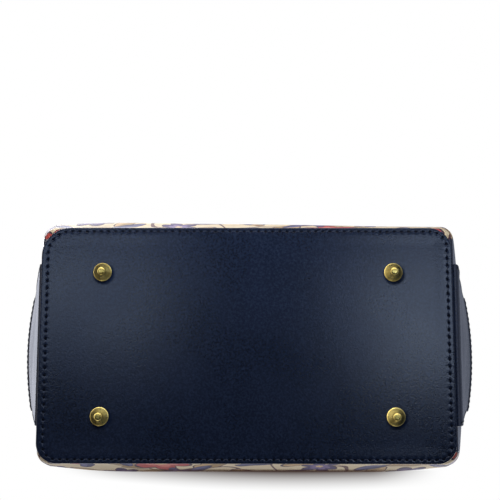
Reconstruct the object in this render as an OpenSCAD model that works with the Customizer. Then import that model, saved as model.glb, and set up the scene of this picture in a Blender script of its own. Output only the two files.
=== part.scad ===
// Leather tote handbag that stands on four metal feet. A flat base panel is sewn under printed front
// and back panels that swell low down, plain side gussets lap over them and flare towards an open
// mouth, and two rolled handles hang on rectangular rings in riveted leather tabs.
// Z is up, the feet stand at z = 0, X is the width and the front faces -Y.

/* [Base] */
// Width of the base panel
base_w = 288; // [250:1:320]
// Depth of the base panel
base_d = 162; // [148:1:178]
// Corner radius of the base panel
base_corner_r = 16; // [14.5:0.5:22]
// Thickness of the base leather
base_t = 2.6; // [1.6:0.1:4]
// Thickness of the stiffening board that lies on the base
board_t = 2; // [1:0.1:3]

/* [Feet] */
// Height of a foot below the base leather
foot_h = 7.5; // [5:0.1:12]
// Diameter of a foot's flange
foot_d = 12.6; // [10:0.1:18]
// Thickness of a foot's flange
foot_flange_t = 1.2; // [0.8:0.1:2]
// Diameter of the rounded end of a foot
foot_end_d = 6.4; // [5:0.1:8]
// Height of the rounded end of a foot
foot_end_h = 2.2; // [1.4:0.1:3]
// Diameter of the flat that a foot stands on
foot_tip_d = 2.4; // [2:0.1:4.6]
// Diameter of a foot's shank
foot_shank_d = 3.6; // [2.4:0.1:5]
// Diameter of the riveted head on the shank
foot_head_d = 5.6; // [5.2:0.1:8]
// Height of the riveted head on the shank
foot_head_t = 0.8; // [0.5:0.1:1.2]
// Diameter of the washer under the riveted head
washer_d = 11; // [8:0.5:14]
// Thickness of the washer
washer_t = 1; // [0.5:0.1:1.5]
// Distance from the end of the base to a foot's centre
foot_inset_x = 43; // [30:0.5:60]
// Distance from the long edge of the base to a foot's centre
foot_inset_y = 31.5; // [28:0.5:45]

/* [Body] */
// Height of the body panels above the base leather
body_h = 208; // [190:1:240]
// Width of the mouth between the corners of the rim
rim_w = 384; // [340:1:420]
// Depth of the mouth
rim_d = 130; // [118:1:142]
// Corner radius of the mouth
rim_corner_r = 9; // [6:0.5:12]
// Thickness of the printed leather of the front and back panels
panel_t = 2; // [1.2:0.1:2.4]
// Radius with which the panels turn in over the base
turn_r = 6; // [5.5:0.5:7]
// Width of the seam allowance that lies on the base
allowance_w = 7; // [4:0.5:8]
// How far the front panel swells past the base, all along
front_belly = 6; // [0:0.5:8]
// Further swell at the middle of the front panel
front_bow = 1.5; // [0:0.5:8]
// How far the back panel swells past the base, all along
back_belly = 3; // [0:0.5:8]
// Further swell at the middle of the back panel
back_bow = 4.5; // [0:0.5:8]
// Height of the fullest part of the swell above the base leather
belly_h = 34; // [24:1:50]
// Height of the flat part of the front and back, below the rim
flat_part = 58; // [57:1:78]

/* [Gussets] */
// Thickness of the gusset leather
gusset_t = 2; // [1.2:0.1:2.2]
// How far the front and back panels show on the sides past the corner, at the base
wrap_base = 9.5; // [6:0.5:14]
// How far the front and back panels show on the sides past the corner, at the mouth
wrap_rim = 6; // [4:0.5:10]
// Width of the edge of a panel that lies under the gusset
lap_w = 8; // [5:0.5:12]
// Outward bow of a gusset at the mouth
gusset_bow = 6; // [0:0.5:12]
// How much the sides curve out towards the mouth: 1 is straight
flare = 1.25; // [1:0.05:1.6]

/* [Facing, lining and snap] */
// Height of the leather facing inside the mouth
facing_h = 40; // [30:1:56]
// Thickness of the facing
facing_t = 1.8; // [1:0.1:2.4]
// Thickness of the fabric lining
lining_t = 0.8; // [0.5:0.1:1.2]
// Diameter of the magnetic snap
snap_d = 15; // [12:0.5:18]
// Thickness of each half of the magnetic snap
snap_t = 2.6; // [2:0.1:4]
// Diameter of the stud and of the recess that takes it
snap_stud_d = 6; // [4:0.1:8]
// Height of the stud
snap_stud_h = 1.4; // [1:0.1:1.8]
// Distance from the rim down to the middle of the snap
snap_drop = 20; // [14:0.5:26]

/* [Handles] */
// Distance between the two legs of a handle
handle_span = 130; // [110:1:150]
// Length of a handle from the ring's bar to the middle of the grip
handle_drop = 150; // [140:1:180]
// Diameter of the rolled grip
handle_d = 12; // [9:0.5:15]
// Distance between the two grips where they lean together
handle_gap = 0.8; // [0.6:0.1:4]
// Thickness of one layer of strap leather
strap_t = 1.8; // [1.2:0.1:2.4]
// Width of the tabs and of the handle's ends
strap_w = 22; // [18:0.5:24]
// Length of a tab below the ring's bar
tab_l = 46; // [40:0.5:46]
// Length of a handle's flat end above the ring's bar
handle_end_l = 32; // [28:0.5:36]
// Length over which a handle's flat end turns round
handle_taper_l = 20; // [14:0.5:26]
// Distance from a ring's bar over which the two layers of strap come together
neck_l = 12; // [9:0.5:14]
// How far a strap lies in from the side of its loop
fold_set = 0.1; // [0.05:0.05:0.3]
// Distance from a ring's bar to the rivet in a tab or handle end
rivet_l = 21; // [19:0.5:23]
// Diameter of a rivet's cap
rivet_d = 8; // [6:0.1:10]
// Height of a rivet's cap
rivet_cap_t = 1.5; // [1:0.1:2]
// Diameter of a rivet's shank
rivet_shank_d = 3; // [2:0.1:4]

/* [Rings] */
// Diameter of the ring's wire
wire_d = 4; // [3:0.1:5]
// Width inside a ring
ring_in_w = 26; // [25.5:0.5:32]
// Height inside a ring
ring_in_h = 14; // [12:0.5:20]
// Radius of the ring's corners, to the middle of the wire
ring_corner_r = 4; // [3:0.5:5]
// Distance from the rim down to the bar that a tab holds
bar_drop = 10; // [8:0.5:12]

/* [Clearances] */
// Gap between layers of leather
seam_gap = 0.15; // [0.1:0.05:0.3]
// Gap round a ring's bar in its leather loop
bar_gap = 0.3; // [0.25:0.05:0.6]
// Gap round a shank in its hole
hole_gap = 0.1; // [0.05:0.05:0.3]
// Gap between the board and the seam allowance round it
board_gap = 2; // [1:0.5:4]
// Gap between the lining and what lies under it
lining_gap = 1; // [0.6:0.1:2]

/* [Hidden] */
$fn = 64;

// Colours of the leathers, fabric and metal
navy = "#1c2740";
cream = "#e7d3b1";
brass = "#8a7a3a";
greyboard = "#8c8578";
cloth = "#b9a27c";

// Levels from the floor up
base_top = foot_h + base_t;
wall_z = base_top + seam_gap;
rim_z = wall_z + body_h;
board_top = base_top + board_t;
head_z = board_top + washer_t;
// Height above the base leather from which the front and back stand flat
flat_h = body_h - flat_part;

// Columns of the body surface in one quarter, from the middle of the front to the middle of the side
n_front = 6;
n_corner = 4;
n_wrap = 2;
n_lap = 2;
n_gusset = 3;
k_side = n_front + n_corner;
k_seam = k_side + n_wrap;
k_edge = k_seam + n_lap;
k_mid = k_edge + n_gusset;
k_loop = 4 * k_mid;

// Rows of the body surface: the allowance, the turn over the base, and the wall up to the rim
n_turn = 3;
n_wall = 11;
row_ease = 1.3;
// Smallest corner radius where the turn brings the outline in
tight_r = 1.5;
// How far the turned edge stands past the edge of the base
edge_over = 0.5;
// Least width of panel left on the side between the corner and the gusset
wrap_min = 1;

function mix(a, b, t) = a + (b - a) * t;
function smooth(a, b, x) =
    let (t = max(0, min(1, (x - a) / (b - a))))
    t * t * (3 - 2 * t);
function unit(v) = v / norm(v);

// Shape of the wall at a height above the base: rise goes 0 to 1 from the turn to the rim, spread is
// the share of the flare, narrow goes 0 to 1 from the belly to the flat part, and swell is the share
// of the belly
function rise(h) = (h - turn_r) / (body_h - turn_r);
function spread(h) = pow(max(0, rise(h)), flare);
function narrow(h) = smooth(belly_h, flat_h, h);
function swell(h) = smooth(0, belly_h, h) * (1 - narrow(h));
function half_w(h) = mix(base_w / 2 + edge_over, rim_w / 2, spread(h));
function half_d(h, belly) = mix(base_d / 2 + edge_over, rim_d / 2, narrow(h)) + belly * swell(h);
function corner_r(h) = mix(base_corner_r, rim_corner_r, narrow(h));
function seam_line(h) =
    mix(base_d / 2 + edge_over - base_corner_r - wrap_base, rim_d / 2 - rim_corner_r - wrap_rim, rise(h));
function seam_y(h) =
    min(seam_line(h), half_d(h, min(front_belly, back_belly)) - corner_r(h) - wrap_min);

// One level of the body: [z, half width, corner radius, side bow, seam, [front depth, front bow],
// [back depth, back bow]]
function level(z, h, inset) = [
    z, half_w(h) - inset, max(corner_r(h) - inset, tight_r), gusset_bow * spread(h), seam_y(h),
    [half_d(h, front_belly) - inset, front_bow * swell(h)],
    [half_d(h, back_belly) - inset, back_bow * swell(h)]
];
function wall_level(h) = level(wall_z + h, h, 0);
function turn_level(q) = level(wall_z + turn_r * (1 - cos(q)), turn_r, turn_r * (1 - sin(q)));
allowance_level = level(wall_z, turn_r, turn_r + allowance_w);
body_levels = concat(
    [allowance_level],
    [for (m = [0 : n_turn]) turn_level(90 * m / n_turn)],
    [for (m = [1 : n_wall]) wall_level(turn_r + (body_h - turn_r) * pow(m / n_wall, row_ease))]
);

// Point of a level in the quarter between a face and the +X side, for column k, drawn as at the front
function quarter(k, s, face) =
    let (a = s[1], r = s[2], out = s[3], seam = s[4], b = face[0], bow = face[1])
    k <= n_front ? [(a - r) * k / n_front, -b - bow * (1 - pow(k / n_front, 2))] :
    k <= k_side ?
        let (q = 90 * (k - n_front) / n_corner)
        [a - r + r * sin(q), r - b - r * cos(q)] :
    let (
        edge = seam - lap_w,
        y = k <= k_seam ? mix(b - r, seam, (k - k_side) / n_wrap) :
            k <= k_edge ? mix(seam, edge, (k - k_seam) / n_lap) :
            mix(edge, 0, (k - k_edge) / n_gusset)
    )
    [a + out * (1 - pow(y / (b - r), 2)), -y];

// Point of the body surface, with the quarter mirrored to all four
function body_point(k, s) =
    let (
        m = (k + 2 * k_loop) % k_loop,
        left = m > 2 * k_mid,
        w = left ? k_loop - m : m,
        back = w > k_mid,
        p = back ? quarter(2 * k_mid - w, s, s[6]) : quarter(w, s, s[5])
    )
    [left ? -p[0] : p[0], back ? -p[1] : p[1], s[0]];
function outward(k, levels, j) =
    let (last = len(levels) - 1)
    unit(cross(
        body_point(k + 1, levels[j]) - body_point(k - 1, levels[j]),
        body_point(k, levels[min(j + 1, last)]) - body_point(k, levels[max(j - 1, 0)])
    ));

// Column counted from the middle of the nearer of front and back
function from_face(k) =
    let (m = (k + 2 * k_loop) % (2 * k_mid))
    min(m, 2 * k_mid - m);

function halves(q) = [[q[0], q[1], q[2]], [q[0], q[2], q[3]]];

// Leather laid on the body surface: columns k0 to k1, with its outer face at reach(k, j) from the
// surface and thickness t. A ring of leather goes all the way round, and a bucket also has a floor.
module leather(levels, k0, k1, t, reach, ring = false, floor_z = undef) {
    cols = ring ? k1 - k0 : k1 - k0 + 1;
    rows = len(levels);
    size = cols * rows;
    has_floor = !is_undef(floor_z);
    skin = [
        for (depth = [0, t])
            for (j = [0 : rows - 1])
                for (c = [0 : cols - 1])
                    body_point(k0 + c, levels[j]) + (reach(k0 + c, j) - depth) * outward(k0 + c, levels, j)
    ];
    middles = has_floor ? [[0, 0, floor_z], [0, 0, floor_z + t]] : [];
    function o(c, j) = j * cols + c % cols;
    function i(c, j) = size + o(c, j);
    last_c = ring ? cols - 1 : cols - 2;
    sides = [
        for (j = [0 : rows - 2])
            for (c = [0 : last_c])
                each concat(
                    halves([o(c, j), o(c, j + 1), o(c + 1, j + 1), o(c + 1, j)]),
                    halves([i(c + 1, j), i(c + 1, j + 1), i(c, j + 1), i(c, j)])
                )
    ];
    top = [
        for (c = [0 : last_c])
            each halves([o(c + 1, rows - 1), o(c, rows - 1), i(c, rows - 1), i(c + 1, rows - 1)])
    ];
    bottom = [
        for (c = [0 : last_c])
            each has_floor ?
                [[o(c, 0), o(c + 1, 0), 2 * size], [i(c + 1, 0), i(c, 0), 2 * size + 1]] :
                halves([o(c, 0), o(c + 1, 0), i(c + 1, 0), i(c, 0)])
    ];
    ends = ring ? [] : [
        for (j = [0 : rows - 2])
            each concat(
                halves([o(0, j + 1), o(0, j), i(0, j), i(0, j + 1)]),
                halves([o(cols - 1, j), o(cols - 1, j + 1), i(cols - 1, j + 1), i(cols - 1, j)])
            )
    ];
    polyhedron(points = concat(skin, middles), faces = concat(sides, top, bottom, ends));
}

// Where a gusset laps over a panel both sink by one gusset thickness before they reach the base, so
// the gusset's allowance lies flat on the base and the panel's edge lies on top of it
function lap_sink(j) = (gusset_t + seam_gap) * (j < n_turn ? 1 : j == n_turn ? 0.5 : 0);
panel_reach = function (k, j) from_face(k) >= k_seam - 1 ? -lap_sink(j) : 0;
gusset_reach = function (k, j) seam_gap + gusset_t - lap_sink(j);

// The facing lies on the panels and steps out to the gussets past the edges of the panels
facing_reach = function (k, j) from_face(k) > k_edge + 1 ? 0 : -panel_t - seam_gap;
facing_levels = [wall_level(body_h - facing_h), wall_level(body_h)];
facing_face_y = rim_d / 2 - panel_t - seam_gap - facing_t;

// The lining hangs under the facing, with its floor over the allowances and the riveted heads
lining_z = max(wall_z + gusset_t + seam_gap + panel_t, head_z + foot_head_t) + lining_gap;
lining_foot = panel_t + gusset_t + seam_gap + lining_gap;
lining_reach = function (k, j) -panel_t - seam_gap - (j < 2 ? gusset_t + lining_gap : lining_gap / 2);
lining_rise = turn_r + lining_foot;
lining_rows = 7;
lining_levels = concat(
    [level(lining_z + lining_foot, turn_r, lining_foot)],
    [for (m = [0 : lining_rows]) wall_level(
        mix(lining_rise + lining_foot, body_h - facing_h - seam_gap - lining_gap, m / lining_rows)
    )]
);

// Places of the ring bars: the tab's bar lies beside the panel, the handle's bar one ring higher
loop_r = wire_d / 2 + bar_gap + strap_t;
bar_y = rim_d / 2 + seam_gap + loop_r;
tab_bar_z = rim_z - bar_drop;
handle_bar_z = tab_bar_z + ring_in_h + wire_d;
tab_face_y = rim_d / 2 + seam_gap + fold_set + 2 * strap_t;
tab_rivet_z = tab_bar_z - rivet_l;
tab_grip = tab_face_y - facing_face_y;
handle_lean = asin((bar_y - handle_d / 2 - handle_gap / 2) / handle_drop);
handle_arch_r = handle_span / 2;

module rounded_plate(w, d, r, t) {
    linear_extrude(t) {
        square([w - 2 * r, d], center = true);
        square([w, d - 2 * r], center = true);
        for (sx = [-1, 1], sy = [-1, 1])
            translate([sx * (w / 2 - r), sy * (d / 2 - r)]) circle(r);
    }
}

module at_feet() {
    for (sx = [-1, 1], sy = [-1, 1])
        translate([sx * (base_w / 2 - foot_inset_x), sy * (base_d / 2 - foot_inset_y), 0]) children();
}

module foot_holes() {
    at_feet() cylinder(r = foot_shank_d / 2 + hole_gap, h = head_z + foot_h);
}

module base_panel() {
    color(navy)
        difference() {
            translate([0, 0, foot_h]) rounded_plate(base_w, base_d, base_corner_r, base_t);
            foot_holes();
        }
}

module base_board() {
    board_inset = turn_r + allowance_w + board_gap;
    color(greyboard)
        difference() {
            translate([0, 0, base_top])
                rounded_plate(
                    base_w - 2 * board_inset, base_d - 2 * board_inset,
                    max(base_corner_r - board_inset, tight_r), board_t
                );
            foot_holes();
        }
}

// A turned foot: a domed end on a cone, a thin flange against the leather, and a shank that is
// riveted over a washer inside
module foot(sx, sy) {
    end_r = foot_end_d / 2;
    tip_r = foot_tip_d / 2;
    flange_r = foot_d / 2;
    cone_top = foot_h - foot_flange_t;
    lip = foot_flange_t / 3;
    shank_r = foot_shank_d / 2;
    dome = [for (q = [0 : 10 : 90]) [mix(tip_r, end_r, sin(q)), foot_end_h * (1 - cos(q))]];
    color(brass)
        translate([sx * (base_w / 2 - foot_inset_x), sy * (base_d / 2 - foot_inset_y), 0])
            rotate_extrude()
                polygon(concat(
                    [[0, 0]], dome,
                    [
                        [flange_r - lip, cone_top], [flange_r, cone_top + lip], [flange_r, foot_h],
                        [shank_r, foot_h], [shank_r, head_z], [foot_head_d / 2, head_z],
                        [foot_head_d / 2, head_z + foot_head_t / 2],
                        [foot_head_d / 2 - foot_head_t / 2, head_z + foot_head_t],
                        [0, head_z + foot_head_t]
                    ]
                ));
}

module foot_washers() {
    color(brass)
        difference() {
            at_feet() translate([0, 0, board_top]) cylinder(d = washer_d, h = washer_t);
            foot_holes();
        }
}

// Holes for the tab rivets, through the front or the back
module tab_rivet_holes() {
    for (sx = [-1, 1], sy = [-1, 1])
        translate([sx * handle_span / 2, sy * facing_face_y, tab_rivet_z])
            rotate([-90 * sy, 0, 0])
                translate([0, 0, -tab_grip]) cylinder(d = rivet_shank_d + 2 * hole_gap, h = 3 * tab_grip);
}

module front_panel() {
    color(cream)
        difference() {
            leather(body_levels, -k_edge, k_edge, panel_t, panel_reach);
            tab_rivet_holes();
        }
}

module back_panel() {
    color(cream)
        difference() {
            leather(body_levels, 2 * k_mid - k_edge, 2 * k_mid + k_edge, panel_t, panel_reach);
            tab_rivet_holes();
        }
}

module right_gusset() {
    color(navy) leather(body_levels, k_seam, 2 * k_mid - k_seam, gusset_t, gusset_reach);
}

module left_gusset() {
    color(navy) leather(body_levels, 2 * k_mid + k_seam, k_loop - k_seam, gusset_t, gusset_reach);
}

module top_facing() {
    color(navy)
        difference() {
            leather(facing_levels, 0, k_loop, facing_t, facing_reach, ring = true);
            tab_rivet_holes();
        }
}

module lining() {
    color(cloth) leather(lining_levels, 0, k_loop, lining_t, lining_reach, ring = true, floor_z = lining_z);
}

// Puts a shape that is drawn round Z, with its seat at z = 0, on the inside of the facing
module on_facing(side) {
    translate([0, side * (facing_face_y - seam_gap), rim_z - snap_drop]) rotate([90 * side, 0, 0]) children();
}

module snap_stud() {
    color(brass)
        on_facing(-1) {
            cylinder(d = snap_d, h = snap_t);
            cylinder(d = snap_stud_d, h = snap_t + snap_stud_h);
        }
}

module snap_socket() {
    color(brass)
        on_facing(1)
            difference() {
                cylinder(d = snap_d, h = snap_t);
                translate([0, 0, snap_t - snap_stud_h])
                    cylinder(d = snap_stud_d + 2 * hole_gap, h = 2 * snap_stud_h);
            }
}

// Two layers of strap folded round a bar that runs along X: the loop is at the origin and the strap
// goes down to length, with its back face at y = back
module folded_strap(length, back) {
    rotate([0, 90, 0]) cylinder(r = loop_r, h = strap_w, center = true);
    rotate([90, 0, 90])
        translate([0, 0, -strap_w / 2])
            linear_extrude(strap_w)
                polygon([
                    [fold_set - loop_r, 0], [loop_r - fold_set, 0], [back, -neck_l], [back, -length],
                    [back - 2 * strap_t, -length], [back - 2 * strap_t, -neck_l]
                ]);
}

module bar_hole() {
    rotate([0, 90, 0]) translate([0, 0, -strap_w]) cylinder(d = wire_d + 2 * bar_gap, h = 2 * strap_w);
}

module rivet_hole() {
    rotate([90, 0, 0])
        translate([0, 0, -2 * loop_r]) cylinder(d = rivet_shank_d + 2 * hole_gap, h = 4 * loop_r);
}

// A tab of the front: the strap lies on the panel and ends in a half round
module tab() {
    end_r = strap_w / 2;
    difference() {
        folded_strap(tab_l, loop_r - fold_set);
        translate([0, 0, end_r - tab_l])
            rotate([90, 0, 0])
                translate([0, 0, -2 * loop_r])
                    linear_extrude(4 * loop_r)
                        difference() {
                            translate([-2 * end_r, -2 * end_r]) square([4 * end_r, 2 * end_r]);
                            circle(end_r);
                        }
        bar_hole();
        translate([0, 0, -rivet_l]) rivet_hole();
    }
}

module place_tab(sx, front) {
    mirror([0, front ? 0 : 1, 0]) translate([sx * handle_span / 2, -bar_y, tab_bar_z]) children();
}

// A rivet along -Y through a grip that starts at y = 0: a cap at each end of the shank
module rivet(grip) {
    cap_r = rivet_d / 2;
    dome = [for (q = [0 : 15 : 90]) [cap_r * cos(q), rivet_cap_t * sin(q)]];
    rotate([90, 0, 0])
        rotate_extrude()
            polygon(concat(
                [[0, -rivet_cap_t], [cap_r - rivet_cap_t / 2, -rivet_cap_t], [cap_r, -rivet_cap_t / 2]],
                [[cap_r, 0], [rivet_shank_d / 2, 0], [rivet_shank_d / 2, grip]],
                [for (p = dome) [p[0], grip + p[1]]]
            ));
}

module tab_rivets() {
    color(brass)
        for (sx = [-1, 1], front = [true, false])
            mirror([0, front ? 0 : 1, 0])
                translate([sx * handle_span / 2, -facing_face_y, tab_rivet_z]) rivet(tab_grip);
}

// A rectangular ring of round wire that stands on its lower bar, with that bar at the origin
module ring() {
    half = (ring_in_w + wire_d) / 2;
    tall = ring_in_h + wire_d;
    bend = ring_corner_r;
    for (z = [0, tall])
        translate([bend - half, 0, z]) rotate([0, 90, 0]) cylinder(d = wire_d, h = 2 * (half - bend));
    for (sx = [-1, 1])
        translate([sx * half, 0, bend]) cylinder(d = wire_d, h = tall - 2 * bend);
    for (turn = [0 : 3])
        translate([0, 0, tall / 2])
            rotate([0, 180 * floor(turn / 2), 0])
                mirror([turn % 2, 0, 0])
                    translate([half - bend, 0, tall / 2 - bend])
                        rotate([90, 0, 0])
                            rotate_extrude(angle = 90) translate([bend, 0]) circle(d = wire_d);
}

// A rolled handle that stands on its two bars: flat looped ends, tapers, legs and a round arch
module handle() {
    leg_z = handle_end_l + handle_taper_l;
    arch_z = handle_drop - handle_arch_r;
    bite = 1;
    difference() {
        union() {
            for (sx = [-1, 1])
                translate([sx * handle_span / 2, 0, 0]) {
                    rotate([180, 0, 0]) folded_strap(handle_end_l, strap_t);
                    hull() {
                        translate([-strap_w / 2, -strap_t, handle_end_l - bite])
                            cube([strap_w, 2 * strap_t, bite]);
                        translate([0, 0, leg_z]) cylinder(d = handle_d, h = bite, $fn = 32);
                    }
                    translate([0, 0, leg_z]) cylinder(d = handle_d, h = arch_z - leg_z);
                }
            translate([0, 0, arch_z])
                rotate([90, 0, 0])
                    rotate_extrude(angle = 180) translate([handle_arch_r, 0]) circle(d = handle_d);
        }
        for (sx = [-1, 1])
            translate([sx * handle_span / 2, 0, 0]) {
                bar_hole();
                translate([0, 0, rivet_l]) rivet_hole();
            }
    }
}

module place_handle(front) {
    mirror([0, front ? 0 : 1, 0])
        translate([0, -bar_y, handle_bar_z]) rotate([-handle_lean, 0, 0]) children();
}

module handle_rivets() {
    for (sx = [-1, 1])
        translate([sx * handle_span / 2, strap_t, rivet_l]) rivet(2 * strap_t);
}

base_panel();
base_board();
foot(-1, -1);  // front_left_foot
foot(1, -1);  // front_right_foot
foot(-1, 1);  // back_left_foot
foot(1, 1);  // back_right_foot
foot_washers();
front_panel();
back_panel();
left_gusset();
right_gusset();
top_facing();
lining();
snap_stud();
snap_socket();
color(navy) place_tab(-1, true) tab();  // front_left_tab
color(navy) place_tab(1, true) tab();  // front_right_tab
color(navy) place_tab(-1, false) tab();  // back_left_tab
color(navy) place_tab(1, false) tab();  // back_right_tab
tab_rivets();
color(brass) place_tab(-1, true) ring();  // front_left_ring
color(brass) place_tab(1, true) ring();  // front_right_ring
color(brass) place_tab(-1, false) ring();  // back_left_ring
color(brass) place_tab(1, false) ring();  // back_right_ring
color(navy) place_handle(true) handle();  // front_handle
color(navy) place_handle(false) handle();  // back_handle
color(brass) place_handle(true) handle_rivets();  // front_handle_rivets
color(brass) place_handle(false) handle_rivets();  // back_handle_rivets
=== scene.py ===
import math
import bpy
import numpy as np
from mathutils import Matrix, Vector


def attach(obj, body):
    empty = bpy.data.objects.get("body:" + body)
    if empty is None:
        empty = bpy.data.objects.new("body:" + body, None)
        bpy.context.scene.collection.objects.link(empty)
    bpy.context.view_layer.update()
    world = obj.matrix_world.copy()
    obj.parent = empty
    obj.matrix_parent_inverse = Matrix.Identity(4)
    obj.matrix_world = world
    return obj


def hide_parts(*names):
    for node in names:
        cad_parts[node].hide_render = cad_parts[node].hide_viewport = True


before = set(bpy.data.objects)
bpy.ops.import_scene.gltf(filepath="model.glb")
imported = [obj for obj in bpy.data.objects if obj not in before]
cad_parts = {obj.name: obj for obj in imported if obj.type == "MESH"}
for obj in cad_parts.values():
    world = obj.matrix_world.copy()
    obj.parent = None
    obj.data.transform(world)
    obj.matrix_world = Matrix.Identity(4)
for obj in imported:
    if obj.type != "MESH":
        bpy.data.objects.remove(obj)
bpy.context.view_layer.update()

# Base panel
# One rounded rectangle of thick navy calf leather that closes the bag below. It is cut out, its edge is
# rounded, and a lockstitch row all round sews it to the turned-in edges of the body.
BASE_HALF_W, BASE_HALF_D = 144.0, 81.0
BASE_TOP, BASE_FACE = 10.1, 7.5
# The cut is a little uneven: a short right end, corners that differ, and another distance from each edge
# to the sewn row. Corners tighten faster than the outline moves in, down to a least radius.
SHORT_RIGHT = 1.8
CORNER_FRONT_RIGHT, CORNER_BACK_RIGHT, CORNER_BACK_LEFT, CORNER_FRONT_LEFT = 16.0, 13.5, 14.0, 20.0
CORNER_TIGHTENS, CORNER_LEAST = 1.4, 1.0
SEAM_FRONT, SEAM_BACK, SEAM_LEFT, SEAM_RIGHT = 2.6, 2.9, 4.7, 3.6
SEAM_INSET = 3.4
LONG_POINTS, SHORT_POINTS, CORNER_POINTS = 310, 155, 26
# The sewn row lies in a groove. Each needle prick draws the leather in, the edge puckers between the
# pricks, and the free middle is a little hollow.
STITCH, STITCH_LEAN = 5.0, 4.0
GROOVE_DEEP, GROOVE_WIDE = 0.02, 0.35
PRICK_DEEP, PRICK_LONG, PRICK_WIDE = 0.55, 0.75, 0.7
PUCKER_DEEP, PUCKER_INSET = 0.05, 1.6
HOLLOW_DEEP, HOLLOW_INSET = 0.12, 9.0
THREAD_RINGS, THREAD_SIDES, HOLE_SIDES = 7, 8, 10
# Round the feet the pressed leather is dull, more on the side the shift points to: a painted contact
# shadow
FOOT_X, FOOT_Y = 101.0, 49.5
DULL_SHADE_R, DULL_SHADE_END_R = 6.6, 8.6
SHADE_SHIFT_X, SHADE_SHIFT_Y = 0.7, 1.1


def linear(colour):
    """The linear colour of an sRGB hex value."""
    parts = [int(colour[i:i + 2], 16) / 255 for i in (1, 3, 5)]
    return tuple([c / 12.92 if c <= 0.04045 else ((c + 0.055) / 1.055) ** 2.4 for c in parts] + [1.0])


def wire(tree, node, inputs):
    """Sets a node's inputs, listed in order or by name or number, to values, or links them to sockets or
    to other nodes' live output. In a Mix node 0 is the factor, 2 and 3 are numbers and 6 and 7 colours."""
    for key, value in inputs.items() if isinstance(inputs, dict) else enumerate(inputs):
        if isinstance(value, bpy.types.Node):
            value = next(out for out in value.outputs if out.enabled)
        if isinstance(value, bpy.types.NodeSocket):
            tree.links.new(value, node.inputs[key])
        else:
            node.inputs[key].default_value = value


def add(tree, kind, inputs, **settings):
    """Adds a node to a material, with its settings and inputs."""
    node = tree.nodes.new("ShaderNode" + kind)
    for key, value in settings.items():
        setattr(node, key, value)
    wire(tree, node, inputs)
    return node


def new_material(name):
    """A new material: its node tree, its main shader and the place of each point in metres."""
    made = bpy.data.materials.new(name)
    made.use_nodes = True
    tree = made.node_tree
    return made, tree, tree.nodes["Principled BSDF"], add(tree, "TexCoord", []).outputs["Object"]


def per_mm(size):
    """The scale of a pattern whose repeat is that many millimetres."""
    return 1000.0 / size


def noise(tree, place, size, **more):
    """Random clouds with a grain of that many millimetres."""
    return add(tree, "TexNoise", {"Vector": place, "Scale": per_mm(size), **more})


def ramp(tree, value, *limits, soft=False):
    """A value brought from one range to another one, which is 0 to 1 if it isn't given."""
    kind = "SMOOTHSTEP" if soft else "LINEAR"
    return add(tree, "MapRange", [value, *limits], interpolation_type=kind)


def calc(tree, operation, *values):
    """One step of arithmetic on numbers."""
    return add(tree, "Math", values, operation=operation)


def calc_vector(tree, operation, *values):
    """One step of arithmetic on vectors."""
    return add(tree, "VectorMath", values, operation=operation)


def bump(tree, strength, deep, height):
    """Fine relief, that many millimetres deep."""
    return add(tree, "Bump", {"Strength": strength, "Distance": 0.001 * deep, "Height": height})


def blend(tree, share, *pair):
    """A colour between two, each given as a node, a linear colour or an sRGB hex value."""
    first, second = [linear(c) if isinstance(c, str) else c for c in pair]
    return add(tree, "Mix", {0: share, 6: first, 7: second}, data_type="RGBA")


def new_piece(name, points, faces, body, materials, face_material=None, uv=None):
    """A smooth mesh, given in millimetres, that rides on a body of the frame."""
    mesh = bpy.data.meshes.new(name)
    mesh.from_pydata([tuple(0.001 * c for c in p) for p in points], [], faces)
    mesh.update()
    mesh.polygons.foreach_set("use_smooth", [True] * len(mesh.polygons))
    for made in materials:
        mesh.materials.append(made)
    if face_material is not None:
        mesh.polygons.foreach_set("material_index", face_material)
    if uv is not None:
        layer = mesh.uv_layers.new(name="lay")
        corners = np.zeros(len(mesh.loops), np.int32)
        mesh.loops.foreach_get("vertex_index", corners)
        layer.data.foreach_set("uv", (0.001 * np.asarray(uv, float)[corners]).astype(np.float32).ravel())
    piece = bpy.data.objects.new(name, mesh)
    bpy.context.scene.collection.objects.link(piece)
    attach(piece, body)
    return piece


# Calf leather, drum dyed navy and plated smooth: a soft satin gloss, faint clouds in the dye, pale rubbed
# specks and a fine grain. Real pores are about 0.3 mm; they are drawn at 0.9 mm so that they show.
navy_calf, tree, shader, place = new_material("navy_calf_leather")
clouds = noise(tree, place, 48, Detail=2.0, Roughness=0.45)
specks = noise(tree, place, 1.6, Detail=2.0, Roughness=0.7)
pores = add(tree, "TexVoronoi", {"Vector": place, "Scale": per_mm(0.9)}, feature="SMOOTH_F1")
dyed = blend(tree, clouds, "#0b1220", "#141f38")
rubbed = ramp(tree, specks, 0.42, 0.72, 0.0, 0.5)
worn = blend(tree, rubbed, dyed, "#2a3854")
gloss = ramp(tree, clouds, 0.3, 0.7, 0.18, 0.22)
grain = calc(tree, "ADD", pores, specks)
relief = bump(tree, 0.16, 0.25, grain)
# Round each foot the pressed leather is dull. One quarter of the base stands for all four.
# The dull ring reaches further to the back and right: a painted contact shadow that takes the shine away.
off_foot = calc_vector(tree, "SUBTRACT", place, (0.001 * SHADE_SHIFT_X, 0.001 * SHADE_SHIFT_Y, 0.0))
folded = calc_vector(tree, "ABSOLUTE", off_foot)
from_foot = calc_vector(tree, "MULTIPLY_ADD", folded, (1.0, 1.0, 0.0),
                        (-0.001 * FOOT_X, -0.001 * FOOT_Y, 0.0))
far = calc_vector(tree, "LENGTH", from_foot)
dull_and_shaded = ramp(tree, far, 0.001 * DULL_SHADE_R, 0.001 * DULL_SHADE_END_R, 0.02, 0.5, soft=True)
wire(tree, shader, {"Base Color": worn, "Roughness": gloss, "IOR": 1.5, "Specular IOR Level": dull_and_shaded,
                    "Normal": relief})

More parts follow.
